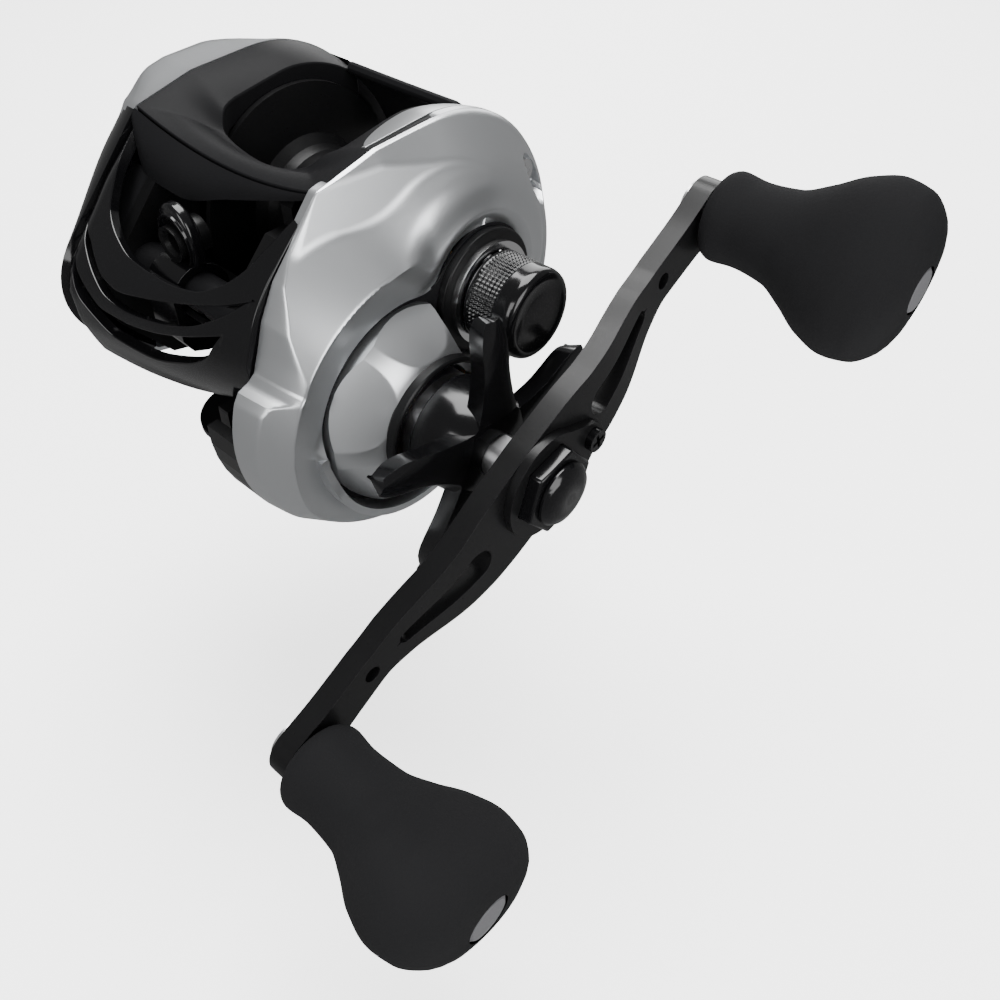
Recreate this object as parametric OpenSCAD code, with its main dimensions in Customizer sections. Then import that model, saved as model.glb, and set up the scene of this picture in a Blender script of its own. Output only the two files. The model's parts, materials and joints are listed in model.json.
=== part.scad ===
// Low-profile baitcasting reel, left-hand retrieve.
// +X runs along the spool towards the handle, -Y is the front where the line leaves, +Z is up.
// The origin is the centre of the underside of the foot.

/* [Layout] */
// Height of the spool axis above the underside of the foot
spool_z = 22; // [22:0.25:23]
// Distance of the crank shaft in front of the spool axis
shaft_back = 14; // [13.5:0.25:14.5]
// Half of the spool's width over its flanges
spool_half = 10.5; // [10:0.1:10.5]
// Radius of the spool's flanges
spool_r = 17.4; // [16.5:0.1:17.4]
// Position of the seam between the top cover and the handle-side cover
seam_x = 18.6; // [18.4:0.1:18.8]
// Position of the outer face of the palm-side ring
palm_x = -17.3; // [-17.5:0.1:-17]

/* [Gears] */
// Tooth size of the drive gear and pinion (module)
drive_m = 0.4; // [0.4:0.4]
// Teeth of the drive gear
drive_teeth = 79; // [79:79]
// Teeth of the pinion
pinion_teeth = 12; // [12:12]
// Tooth size of the level-wind gears (module)
wind_m = 0.5; // [0.5:0.5]
// Teeth of the level-wind drive gear
wind_teeth = 52; // [52:52]
// Teeth of the worm gear
worm_teeth = 18; // [18:18]

/* [Handle] */
// Distance from the crank axis to each knob's axis
crank_r = 43.5; // [40:0.5:46]
// Turn of the handle from level, rear arm upwards
crank_turn = 27; // [0:1:60]
// Thickness of the handle arm
arm_t = 3; // [2.5:0.1:3]
// Outer face of the handle at its centre
arm_x = 49; // [48.5:0.1:49]
// Outer face of the handle at the knobs
tip_x = 46; // [45.5:0.1:46]
// Length of a knob
knob_len = 28; // [24:0.5:30]
// Width of a knob across its paddle
knob_w = 22.8; // [20:0.1:24]
// Turn of the upper knob on its spindle
upper_turn = 60; // [0:5:180]
// Turn of the lower knob on its spindle
lower_turn = 150; // [0:5:180]

/* [Line guide] */
// Place of the line guide along the worm
guide_x = -2.5; // [-4.5:0.5:4.5]

/* [Foot] */
// Length of the foot along the rod
foot_len = 62; // [58:0.5:64]
// Width of the foot
foot_w = 13; // [12:0.5:14]
// Thickness of the foot
foot_t = 2.2; // [2.2:2.2]

/* [Hidden] */
$fn = 64;

black = [0.07, 0.07, 0.075];
silver = [0.72, 0.73, 0.75];
steel = [0.6, 0.6, 0.62];
brass = [0.75, 0.6, 0.3];
rubber = [0.13, 0.13, 0.13];

// Axes: the crank shaft is one gear centre distance from the spool
spool_y = 0;
drive_cd = drive_m * (drive_teeth + pinion_teeth) / 2;
shaft_y = -shaft_back;
shaft_z = spool_z - sqrt(drive_cd * drive_cd - shaft_back * shaft_back);
mesh_turn = atan2(spool_z - shaft_z, spool_y - shaft_y);
wind_cd = wind_m * (wind_teeth + worm_teeth) / 2;
worm_y = -26.5;
guide_back = 1.4;
guide_up = 6.8;
worm_z = shaft_z + sqrt(wind_cd * wind_cd - pow(worm_y - shaft_y, 2));
ring_z = worm_z + guide_up;
wind_turn = atan2(worm_z - shaft_z, worm_y - shaft_y);

// Walls of the frame
wall_in = 11.2;
wall_out = 13.2;
cover_t = 2.4;
wall_t = 1.6;
wall_inset = 3.2;
visor_back = -19.1;
visor_low = 33.9;
deck_front = -19.2;
deck_back = 14;
deck_low = 31;
hood_low = 14.4;
cover_face = 26.2;
case_face = 28.6;
dome_r = 18;
dome_face = 30.6;
// Cover screws: two from the handle side, one from inside the frame
outer_screws = [[14, 31.8], [8.5, 5.5]];
inner_screw = [-20.5, 31.2];
screw_spots = concat(outer_screws, [inner_screw]);
foot_screw_y = [-9, 0, 9];
post_reach = 8;
post_spots = [for (s = [-1, 1])
  [spool_y - s * post_reach * sin(mesh_turn), spool_z + s * post_reach * cos(mesh_turn)]];
// Radius of the thumb bar's path and its place round the spool
bar_r = 20.2;
bar_turn = 40;

// ---- helpers ----
function arc(cy, cz, r, from, to, steps) =
  [for (i = [0 : steps]) let (a = from + (to - from) * i / steps) [cy + r * cos(a), cz + r * sin(a)]];

// Handle-side outline, drawn d inside the outer surface: rear arc, top, front slope, gear case
function case_pts(d) = concat(
  arc(0.5, 21.5, 21.5 - d, -38, 92, 16),
  [[-10, 42.6 - d], [-19.3 + d / 3, 40.6 - d], [-29 + d * 0.8, 32.5 - d * 0.8]],
  arc(-17.5, 12, 20 - d, 150, 292, 18));

// Palm-side outline, drawn d inside: rear arc, top, long front slope, nose, level underside
function palm_pts(d) = concat(
  arc(0.5, 21.5, 21.5 - d, -60, 92, 18),
  [[-10, 42.6 - d], [-19.3 + d / 3, 40.6 - d]],
  arc(-27.5, 19.5, 9.8 - d, 130, 215, 8),
  [[-27, 5 + d], [-14, 1.6 + d]]);

// Outlines of the front hood's two ends: a deep nose at the palm side, a shallow one at the gears
function hood_palm_pts(d) = concat(
  [[-19.5, 40.2 - d * 1.4], [-33.6 + d * 0.6, 27.2 - d]],
  arc(-27.5, 19.5, 9.8 - d, 130, 222, 10),
  [[-26, 5.2 + d], [-19.5, 3.2 + d]]);
function hood_gear_pts(d) = concat(
  [[-19.5, 39.8 - d * 1.4], [-29 + d * 0.6, 31 - d]],
  arc(-24.2, 22.8, 9.2 - d, 138, 226, 10),
  [[-19.5, 13.4 + d]]);

// Extrude a YZ drawing from x0 to x1
module along_x(x0, x1) {
  translate([x0, 0, 0]) rotate([90, 0, 90]) linear_extrude(x1 - x0) children();
}

// Cylinder along X between x0 and x1
module rod(x0, x1, r, y, z) {
  translate([x0, y, z]) rotate([0, 90, 0]) cylinder(h = x1 - x0, r = r);
}

// Tube along X
module tube(x0, x1, ro, ri, y, z) {
  difference() {
    rod(x0, x1, ro, y, z);
    rod(x0 - 1, x1 + 1, ri, y, z);
  }
}

// A solid of revolution about an X axis through (y, z); its points are [radius, x]
module spun(y, z, pts) {
  translate([0, y, z]) rotate([0, 90, 0]) rotate_extrude($fn = 96) polygon(pts);
}

// Flat gear drawing with slim straight-flanked teeth
module gear_face(teeth, m) {
  pitch = 360 / teeth;
  tip = m * (teeth / 2 + 0.85);
  root = m * (teeth / 2 - 1.15);
  polygon([for (i = [0 : teeth - 1]) each [
    [root * cos((i - 0.27) * pitch), root * sin((i - 0.27) * pitch)],
    [tip * cos((i - 0.11) * pitch), tip * sin((i - 0.11) * pitch)],
    [tip * cos((i + 0.11) * pitch), tip * sin((i + 0.11) * pitch)],
    [root * cos((i + 0.27) * pitch), root * sin((i + 0.27) * pitch)]]]);
}

// Ball bearing: an outer and inner race joined by shields
module bearing(x0, x1, ro, ri, y, z) {
  mid = (ro + ri) / 2;
  race = (ro - ri) / 5;
  dip = 0.25;
  spun(y, z, [[ri, x0], [ri + race, x0], [ri + race, x0 + dip], [ro - race, x0 + dip], [ro - race, x0],
    [ro, x0], [ro, x1], [ro - race, x1], [ro - race, x1 - dip], [mid, x1 - dip], [ri + race, x1 - dip],
    [ri + race, x1], [ri, x1]]);
}

// ---- frame and foot ----
// Floor with a curved lip in front of and behind the spool
module frame_floor() {
  lip_in = spool_r + 1;
  lip_out = spool_r + 2.8;
  translate([-wall_out, -12.5, foot_t]) cube([2 * wall_out, 24, 1.6]);
  for (span = [[-63, -6], [186, 240]])
    along_x(-wall_out, wall_out) polygon(concat(
      arc(spool_y, spool_z, lip_out, span[0], span[1], 12),
      arc(spool_y, spool_z, lip_in, span[1], span[0], 12)));
}

// Space under the top cover, grown by a gap all round
module deck_space(gap) {
  translate([-30, deck_front - gap, deck_low - gap]) cube([60, deck_back - deck_front + 2 * gap, 40]);
}

// Space behind the visor
module visor_space() {
  translate([-30, visor_back - 20, visor_low]) cube([60, 20, 20]);
}

module frame() {
  color(black) difference() {
    union() {
      along_x(wall_in, wall_out) polygon(case_pts(wall_inset));
      along_x(-wall_out, -wall_in) polygon(palm_pts(wall_inset));
      // rim round the gear train, left open under the top cover
      difference() {
        along_x(wall_out, seam_x) polygon(case_pts(0));
        along_x(wall_out - 1, seam_x + 1) polygon(case_pts(wall_t));
        deck_space(0.05);
        translate([wall_out - 1, -60, hood_low - 0.1]) cube([20, 60 + deck_front, 60]);
      }
      frame_floor();
      for (s = screw_spots) rod(wall_out - 0.1, seam_x, 2.1, s[0], s[1]);
      for (p = post_spots) rod(wall_out, 24, 0.9, p[0], p[1]);
    }
    rod(-wall_out - 1, -wall_in + 1, spool_r + 0.6, spool_y, spool_z);
    rod(wall_in - 1, wall_out + 1, 5.4, spool_y, spool_z);
    rod(wall_in - 1, wall_out + 1, 4, shaft_y, shaft_z);
    for (x = [-wall_out - 1, wall_in - 1]) rod(x, x + 4, 2.3, worm_y, worm_z);
    for (s = outer_screws) rod(wall_out + 0.6, seam_x + 1, 0.9, s[0], s[1]);
    rod(wall_in - 1, seam_x + 1, 0.9, inner_screw[0], inner_screw[1]);
    for (y = foot_screw_y) translate([0, y, 0]) cylinder(h = 8, r = 1);
    // the gear-side wall stops behind the hood
    translate([wall_in - 0.1, -50, hood_low - 0.1]) cube([2.1, 20, 40]);
    visor_space();
    // slot for the thumb bar's tab
    translate([wall_in - 1, spool_y, spool_z]) rotate([bar_turn - 12, 0, 0])
      translate([0, bar_r - 1.2, -8]) cube([4, 2.6, 13]);
  }
}

module reel_foot() {
  end_r = foot_w / 2;
  color(black) difference() {
    intersection() {
      union() {
        translate([-foot_w / 2, -foot_len / 2 + end_r, 0]) cube([foot_w, foot_len - 2 * end_r, foot_t]);
        for (s = [-1, 1]) translate([0, s * (foot_len / 2 - end_r), 0]) cylinder(h = foot_t, r = end_r);
      }
      // ends thinned on top so that the seat's hoods slide over them
      along_x(-foot_w, foot_w) polygon([[-foot_len / 2, 0], [foot_len / 2, 0], [foot_len / 2, 1],
        [foot_len / 2 - 12, foot_t], [-foot_len / 2 + 12, foot_t], [-foot_len / 2, 1]]);
    }
    for (y = foot_screw_y) translate([0, y, 0]) {
      translate([0, 0, -1]) cylinder(h = foot_t + 2, r = 1);
      translate([0, 0, -0.1]) cylinder(h = 1.1, r = 1.8);
    }
  }
}

module foot_screws() {
  color(steel) for (y = foot_screw_y) translate([0, y, 0]) {
    translate([0, 0, 0.2]) cylinder(h = 0.8, r = 1.8);
    translate([0, 0, 1]) cylinder(h = 2.7, r = 1);
  }
}

// ---- handle side ----
// Outer body of the cover and, one wall smaller, the hollow in it
module case_form(inset, face) {
  hull() {
    along_x(seam_x - inset, seam_x + 2) polygon(case_pts(inset));
    along_x(face - 1, face) polygon(case_pts(6.5 + inset));
  }
}

module handle_side_cover() {
  color(silver) difference() {
    union() {
      difference() {
        union() {
          case_form(0, cover_face);
          difference() {
            spun(shaft_y, shaft_z, [[0, 20], [dome_r, 20], [dome_r, 24.4], [dome_r - 1.6, 26.2], [12, 28.8],
              [9.4, dome_face], [0, dome_face]]);
            rod(cover_face, 40, 8.7, spool_y, spool_z);
          }
        }
        case_form(wall_t, cover_face - wall_t);
        spun(shaft_y, shaft_z, [[0, 17], [dome_r - 1.5, 17], [dome_r - 1.5, 24.2], [dome_r - 3.5, 25.4], [0, 25.4]]);
        // everything on the inner side of the seam
        translate([seam_x - 20, -60, -20]) cube([20, 120, 80]);
      }
      rod(24.6, 31.6, 8.6, shaft_y, shaft_z);
      rod(25.9, 28, 6, spool_y, spool_z);
      rod(27, 33, 5, spool_y, spool_z);
      for (s = outer_screws) rod(seam_x, 21.4, 2.4, s[0], s[1]);
      rod(seam_x, 24.2, 2.1, inner_screw[0], inner_screw[1]);
    }
    rod(26, 32, 7, shaft_y, shaft_z);
    rod(23, 33, 5.4, shaft_y, shaft_z);
    rod(24.4, 27.9, 4.5, spool_y, spool_z);
    rod(27, 29, 2.2, spool_y, spool_z);
    rod(28.6, 34, 4, spool_y, spool_z);
    for (s = outer_screws) {
      rod(seam_x - 1, 30, 1, s[0], s[1]);
      rod(20.6, 30, 2, s[0], s[1]);
    }
    rod(seam_x - 1, 21, 0.9, inner_screw[0], inner_screw[1]);
  }
}

module cap_surround() {
  color(black) tube(cover_face, 27.4, 8.6, 6.1, spool_y, spool_z);
}

module boss_collar() {
  color(black) spun(shaft_y, shaft_z, [[8.65, dome_face + 0.02], [9.5, dome_face + 0.02], [9.4, 32], [9, 32.4],
    [8.65, 32.1]]);
}

// Cross-headed screw along +X with its head outwards
module cover_screw(len) {
  difference() {
    union() {
      rod(0, 1.2, 1.8, 0, 0);
      rod(-len, 0.1, 0.88, 0, 0);
    }
    for (a = [0, 90]) rotate([a, 0, 0]) translate([0.8, -1.1, -0.25]) cube([1, 2.2, 0.5]);
  }
}

module cover_screws() {
  color(silver) {
    for (s = outer_screws) translate([20.6, s[0], s[1]]) cover_screw(6.4);
    translate([wall_in, inner_screw[0], inner_screw[1]]) rotate([0, 0, 180]) cover_screw(9.6);
  }
}

// ---- palm side ----
module palm_side_cover() {
  face = -26.2;
  color(silver) difference() {
    hull() {
      along_x(palm_x - 2, palm_x) polygon(palm_pts(0));
      along_x(face, face + 1) polygon(palm_pts(7));
    }
    hull() {
      along_x(palm_x - 2, palm_x + 0.1) polygon(palm_pts(wall_t));
      along_x(face + wall_t, face + wall_t + 1) polygon(palm_pts(7 + wall_t));
    }
    rod(face - 1, face + 3, 3.1, spool_y, spool_z);
  }
}

module palm_side_ring() {
  color(black) difference() {
    union() {
      along_x(palm_x, -wall_out) polygon(palm_pts(wall_inset));
      difference() {
        along_x(palm_x, -wall_out) polygon(palm_pts(0));
        deck_space(0.05);
        translate([-30, -60, -5]) cube([60, 60 + deck_front - 0.25, 60]);
      }
    }
    visor_space();
    rod(-16.4, -wall_out + 1, 5, spool_y, spool_z);
    rod(palm_x - 1, -16, 2, spool_y, spool_z);
  }
}

module brake_dial() {
  color(black) union() {
    difference() {
      rod(-28.2, -26.5, 8, spool_y, spool_z);
      for (i = [0 : 23]) translate([-29, spool_y, spool_z]) rotate([i * 15, 0, 0])
        translate([0, 8.3, 0]) rotate([0, 90, 0]) cylinder(h = 4, r = 0.6, $fn = 24);
    }
    translate([-28.8, spool_y - 6.4, spool_z - 1]) cube([0.8, 12.8, 2]);
    rod(-26.6, -18, 3, spool_y, spool_z);
  }
}

module brake_magnet_ring() {
  color(steel) difference() {
    rod(-wall_out, -10.9, 9.6, spool_y, spool_z);
    rod(-20, 0, 7.3, spool_y, spool_z);
    for (i = [0 : 5]) translate([0, spool_y, spool_z]) rotate([i * 60, 0, 0])
      translate([-11.3, 8.45, 0]) rotate([0, 90, 0]) cylinder(h = 1, r = 0.8, $fn = 24);
  }
}

// ---- top and front ----
module top_cover() {
  color(black) difference() {
    along_x(palm_x, seam_x) polygon(case_pts(0));
    along_x(palm_x - 1, seam_x + 1) polygon(case_pts(cover_t));
    translate([palm_x - 1, -60, -20]) cube([60, 120, 20 + deck_low]);
    translate([palm_x - 1, -60, 0]) cube([60, 60 + deck_front, 60]);
    translate([palm_x - 1, deck_back, 0]) cube([60, 60, 60]);
    // thumb opening, with rounded front corners
    translate([-12, -9, 0]) cube([23.2, 60, 60]);
    translate([-8, -13, 0]) cube([15.2, 60, 60]);
    for (x = [-8, 7.2]) translate([x, -9, 0]) cylinder(h = 60, r = 4);
  }
}

module visor() {
  color(black) along_x(palm_x + 0.3, seam_x - 0.3)
    polygon([[-19.3, 39.8], [-22.4, 37.2], [-22.8, 35.2], [-21.6, 34], [-20.2, 35.4], [-19.3, 37]]);
}

// Solid that the hood is cut from, shrunk by d: level past the palm-side wall, then swept back
module hood_form(d, x0, x1) {
  along_x(x0, -9) polygon(hood_palm_pts(d));
  hull() {
    along_x(-10, -9) polygon(hood_palm_pts(d));
    along_x(x1 - 1, x1) polygon(hood_gear_pts(d));
  }
}

module front_hood() {
  slot_len = 27;
  color(black) difference() {
    hood_form(0, palm_x, seam_x - 0.1);
    hood_form(1.6, palm_x - 1.1, seam_x - 1.5);
    // room for the level-wind gears
    rod(wall_in - 0.1, 30, 14, shaft_y, shaft_z);
    rod(wall_in - 0.1, wall_out + 0.1, 17.8, shaft_y, shaft_z);
    rod(wall_in - 0.1, seam_x - 0.7, 5.3, worm_y, worm_z);
    rod(wall_in - 0.1, 30, 2.3, inner_screw[0], inner_screw[1]);
    // clear of the deck and the visor
    translate([palm_x - 1, -22.9, 32]) cube([40, 10, 20]);
    translate([palm_x - 1, deck_front - 0.3, 0]) cube([40, 10, 60]);
    translate([-12, -40, 25.4]) cube([24, 22, 14]);
    // two slots between the bars
    for (z = [19.4, 13.4]) translate([-13, -42, z]) cube([slot_len, 14, 2.6]);
  }
}

module thumb_bar() {
  color(black) union() {
    along_x(-11, 11) polygon(concat(
      arc(spool_y, spool_z, bar_r + 1, bar_turn - 20, bar_turn + 12, 12),
      arc(spool_y, spool_z, bar_r - 1.2, bar_turn + 12, bar_turn - 20, 12)));
    translate([10.9, spool_y, spool_z]) rotate([bar_turn, 0, 0])
      translate([0, bar_r - 0.9, -2]) cube([2.2, 1.8, 3]);
  }
}

// ---- spool ----
module spool() {
  e = spool_half;
  color(black) spun(spool_y, spool_z, [[spool_r, -e], [spool_r, -e + 0.9], [10.6, -e + 2.1], [9.4, -e + 3.4],
    [9, -e + 5], [9, e - 5], [9.4, e - 3.4], [10.6, e - 2.1], [spool_r, e - 0.9], [spool_r, e],
    [10.4, e - 1], [7.8, e - 3.6], [7.8, 1], [1.5, 1], [1.5, -1], [7.8, -1], [7.8, -e + 3.6],
    [10.4, -e + 1]]);
}

module spool_shaft() {
  color(steel) union() {
    rod(-16.2, 33.4, 1.5, spool_y, spool_z);
  }
}

module clutch_pin() {
  color(steel) difference() {
    translate([14.7, spool_y, spool_z - 2.6]) cylinder(h = 5.2, r = 0.5);
    rod(13, 17, 1.5, spool_y, spool_z);
  }
}

module brake_rotor() {
  color(silver) tube(-12.4, -1, 6.7, 5.6, spool_y, spool_z);
}

module palm_bearing() {
  color(steel) bearing(-16.4, -13.4, 5, 1.53, spool_y, spool_z);
}

module cap_bearing() {
  color(steel) bearing(28.6, 31.1, 4, 1.53, spool_y, spool_z);
}

module cast_control_cap() {
  r = 6.3;
  ribs = 40;
  color(black) difference() {
    spun(spool_y, spool_z, [[5.35, 28.6], [r, 28.6], [r, 35.9], [r - 0.8, 36.7], [0, 36.7], [0, 35.1], [5.35, 35.1]]);
    for (i = [0 : ribs - 1]) translate([29.4, spool_y, spool_z]) rotate([i * 360 / ribs, 0, 0])
      translate([0, r + 0.12, 0]) rotate([0, 90, 0]) cylinder(h = 5.6, r = 0.3, $fn = 13);
    spun(spool_y, spool_z, [[0, 36.2], [3.6, 36.2], [4.2, 36.8], [0, 36.8]]);
  }
}

module cap_ring() {
  color(silver) tube(27.45, 28.4, 7.2, 6.05, spool_y, spool_z);
}

module tension_washer() {
  color(brass) rod(33.7, 35, 3.4, spool_y, spool_z);
}

// ---- gear train ----
module pinion_gear() {
  color(brass) difference() {
    union() {
      rod(14.2, 16.4, 3, spool_y, spool_z);
      rod(16.3, 18.2, 2.15, spool_y, spool_z);
      rod(18.1, 19, 2.7, spool_y, spool_z);
      rod(18.9, 19.9, 1.95, spool_y, spool_z);
      along_x(19.8, 24.4) translate([spool_y, spool_z])
        rotate(mesh_turn + 180 + 180 / pinion_teeth) gear_face(pinion_teeth, drive_m);
      rod(24.3, 27.2, 2.1, spool_y, spool_z);
    }
    rod(13, 29, 1.58, spool_y, spool_z);
    // slot that takes the clutch pin
    translate([13.2, spool_y - 0.7, spool_z - 4]) cube([2.3, 1.4, 8]);
  }
}

module pinion_bearing() {
  color(steel) bearing(26.1, 27.9, 4.5, 2.15, spool_y, spool_z);
}

module drive_shaft() {
  color(steel) difference() {
    union() {
      rod(11.4, arm_x + 1.6, 3, shaft_y, shaft_z);
      rod(14, 15.3, 5, shaft_y, shaft_z);
    }
    // flats that key the washers and the handle
    for (s = [0, 180]) translate([24, shaft_y, shaft_z]) rotate([s, 0, 0])
      translate([0, -4, 2.7]) cube([40, 8, 2]);
  }
}

module shaft_bearing() {
  color(steel) bearing(wall_in + 0.2, wall_out, 4, 3.05, shaft_y, shaft_z);
}

module drive_gear() {
  color(brass) difference() {
    along_x(20.4, 23.8) translate([shaft_y, shaft_z]) rotate(mesh_turn) gear_face(drive_teeth, drive_m);
    rod(19, 25, 3.05, shaft_y, shaft_z);
    rod(22.2, 25, 12.2, shaft_y, shaft_z);
  }
}

module drag_washer() {
  color(black) tube(22.2, 23, 12, 4, shaft_y, shaft_z);
}

module pressure_washer() {
  color(steel) difference() {
    rod(23, 23.9, 11.6, shaft_y, shaft_z);
    rod(22, 25, 3.02, shaft_y, shaft_z);
  }
}

module ratchet() {
  teeth = 8;
  color(steel) difference() {
    along_x(18, 19.2) translate([shaft_y, shaft_z])
      polygon([for (i = [0 : teeth - 1]) each [
        [7.4 * cos(i * 360 / teeth), 7.4 * sin(i * 360 / teeth)],
        [9.4 * cos((i + 0.75) * 360 / teeth), 9.4 * sin((i + 0.75) * 360 / teeth)]]]);
    rod(17, 20, 3.02, shaft_y, shaft_z);
  }
}

module anti_reverse_bearing() {
  color(steel) bearing(26.2, 31.4, 7, 4.05, shaft_y, shaft_z);
}

module shaft_sleeve() {
  color(steel) tube(23.9, 33, 4, 3.02, shaft_y, shaft_z);
}

module spring_washers() {
  color(steel) for (x = [33.1, 34.1]) translate([x, shaft_y, shaft_z]) rotate([0, 90, 0]) rotate_extrude()
    polygon([[3.1, 0], [5.2, 0.4], [5.2, 0.8], [3.1, 0.4]]);
}

module star_nut() {
  color(brass) difference() {
    along_x(35.4, 38.4) translate([shaft_y, shaft_z]) circle(r = 5.2, $fn = 6);
    rod(35, 39, 3.05, shaft_y, shaft_z);
  }
}

// Star wheel: hub over its nut, with five swept blade arms
module star_drag() {
  arm_root = 5.5;
  arm_tip = 19;
  color(black) difference() {
    union() {
      rod(34.9, 41.2, 6.6, shaft_y, shaft_z);
      translate([0, shaft_y, shaft_z]) for (i = [0 : 4]) rotate([i * 72 + 12, 0, 0]) {
        along_x(38, 40.6) polygon([[arm_root, -2.6], [12, -2.2], [arm_tip - 1.5, -1.2], [arm_tip, 0.4],
          [arm_tip - 0.8, 2], [arm_tip - 3, 2.4], [12, 2.4], [arm_root, 2.6]]);
      }
    }
    along_x(33, 38.5) translate([shaft_y, shaft_z]) circle(r = 5.3, $fn = 6);
    rod(34, 43, 3.1, shaft_y, shaft_z);
  }
}

module wind_drive_gear() {
  color(black) difference() {
    along_x(15.5, 17.5) translate([shaft_y, shaft_z]) rotate(wind_turn) gear_face(wind_teeth, wind_m);
    rod(15, 18, 3.02, shaft_y, shaft_z);
  }
}

// ---- level wind ----
module worm_gear() {
  color(black) difference() {
    along_x(15.4, 17.6) translate([worm_y, worm_z])
      rotate(wind_turn + 180 + 180 / worm_teeth) gear_face(worm_teeth, wind_m);
    rod(15, 18, 1.6, worm_y, worm_z);
  }
}

module worm_shaft() {
  color(steel) union() {
    rod(-13, 13, 2.2, worm_y, worm_z);
    rod(12.9, 17.8, 1.6, worm_y, worm_z);
  }
}

module worm_tube() {
  color(black) difference() {
    tube(-wall_in, wall_in, 3.2, 2.5, worm_y, worm_z);
    translate([-9.4, worm_y - 1.4, worm_z - 4]) cube([18.8, 2.8, 3]);
    translate([-9.4, worm_y - 5, worm_z - 1]) cube([18.8, 4, 2]);
  }
}

module guide_rod() {
  color(steel) rod(-wall_in, wall_in, 1, worm_y + 3.2, worm_z - 6.6);
}

module line_guide() {
  color(black) translate([guide_x, 0, 0]) difference() {
    union() {
      along_x(-3.2, 3.2) polygon(concat(
        arc(worm_y, worm_z, 4.6, 20, 160, 10),
        [[worm_y - 4.4, worm_z - 5.2], [worm_y - 1, worm_z - 8.2], [worm_y + 4.6, worm_z - 8.2],
          [worm_y + 4.9, worm_z - 2]]));
      translate([0, worm_y + guide_back + 2.2, ring_z]) rotate([90, 0, 0]) cylinder(h = 4.4, r = 3.2);
      translate([-2.4, worm_y - 1.6, worm_z + 3.4]) cube([4.8, 4.8, 2]);
    }
    rod(-5, 5, 3.3, worm_y, worm_z);
    rod(-5, 5, 1.08, worm_y + 3.2, worm_z - 6.6);
    translate([0, worm_y + 5, ring_z]) rotate([90, 0, 0]) cylinder(h = 10, r = 2.4);
    translate([0, worm_y, worm_z - 9]) cylinder(h = 7, r = 1.3);
  }
}

module line_guide_ring() {
  color(silver) translate([guide_x, worm_y + guide_back + 2.4, ring_z]) rotate([90, 0, 0])
    rotate_extrude() polygon([[1.5, 0.8], [1.8, 0.2], [2.4, 0], [2.4, 4.8], [1.8, 4.6], [1.5, 4]]);
}

module pawl() {
  color(brass) translate([guide_x, 0, 0]) union() {
    translate([0, worm_y, worm_z - 7.6]) cylinder(h = 4.2, r = 1.25);
    translate([-0.9, worm_y - 0.3, worm_z - 3.5]) cube([1.8, 0.6, 1.2]);
  }
}

// ---- clutch ----
module clutch_cam() {
  color(steel) along_x(13.3, 13.9) difference() {
    union() {
      translate([shaft_y, shaft_z]) circle(r = 7.4);
      translate([shaft_y, shaft_z]) rotate(mesh_turn - 26) translate([0, -2]) square([14.6, 4]);
      translate([shaft_y, shaft_z]) rotate(mesh_turn + 26) translate([0, -2]) square([14.6, 4]);
    }
    translate([shaft_y, shaft_z]) circle(r = 5.4);
  }
}

module pinion_yoke() {
  color(black) along_x(16.7, 17.6) difference() {
    translate([spool_y, spool_z]) rotate(mesh_turn + 90) translate([-post_reach - 2, -3.2])
      square([2 * post_reach + 4, 6]);
    for (p = post_spots) translate(p) circle(r = 0.98);
    translate([spool_y, spool_z]) circle(r = 2.3);
    translate([spool_y, spool_z]) rotate(mesh_turn) translate([0, -2.3]) square([8, 4.6]);
  }
}

// Two light coil springs drawn as turns on a spine, on the frame's posts
module yoke_springs() {
  coil_r = 1.5;
  wire = 0.22;
  turns = 6;
  color(steel) for (p = post_spots) {
    for (i = [0 : turns]) translate([18 + i * 0.72, p[0], p[1]]) rotate([0, 90, 0])
      rotate_extrude() translate([coil_r, 0]) circle(r = wire, $fn = 16);
    translate([18, p[0], p[1] + coil_r]) rotate([0, 90, 0]) cylinder(h = turns * 0.72, r = wire * 0.8, $fn = 16);
  }
}

// ---- handle ----
// Outline of one arm: wide at the centre, waisted at the bend, round at the knob
module arm_face() {
  difference() {
    union() {
      polygon([[0, -7.4], [8, -7], [14, -6.2], [20, -5.4], [26, -4], [30.5, -3.1], [crank_r, -3.7],
        [crank_r, 3.7], [30.5, 3.1], [26, 4], [20, 5.4], [14, 6.2], [8, 7], [0, 7.4]]);
      translate([crank_r, 0]) circle(r = 3.9);
    }
    translate([crank_r, 0]) circle(r = 2);
    translate([31.4, 0]) circle(r = 1.15);
    translate([13.4, 0]) circle(r = 2.4);
    translate([25.2, 0]) circle(r = 1.1);
    polygon([[13.4, -2.4], [25.2, -1.1], [25.2, 1.1], [13.4, 2.4]]);
  }
}

// Side view of one arm: level, swept in, level again
module arm_side() {
  polygon([[0, arm_x - arm_t], [12, arm_x - arm_t], [30.5, tip_x - arm_t], [crank_r + 6, tip_x - arm_t],
    [crank_r + 6, tip_x], [30.5, tip_x], [12, arm_x], [0, arm_x]]);
}

module handle_arm() {
  color(black) translate([0, shaft_y, shaft_z]) rotate([crank_turn, 0, 0]) difference() {
    for (half = [0, 180]) rotate([half, 0, 0]) intersection() {
      along_x(40, 52) arm_face();
      translate([0, 0, -10]) linear_extrude(20) rotate(90) mirror([0, 1]) arm_side();
    }
    rotate([-crank_turn, 0, 0]) rod(40, 55, 3.02, 0, 0);
  }
}

module handle_nut() {
  color(steel) difference() {
    along_x(arm_x, arm_x + 3) translate([shaft_y, shaft_z]) rotate(10) circle(r = 6, $fn = 6);
    rod(arm_x - 1, arm_x + 5, 3.02, shaft_y, shaft_z);
  }
}

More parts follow.
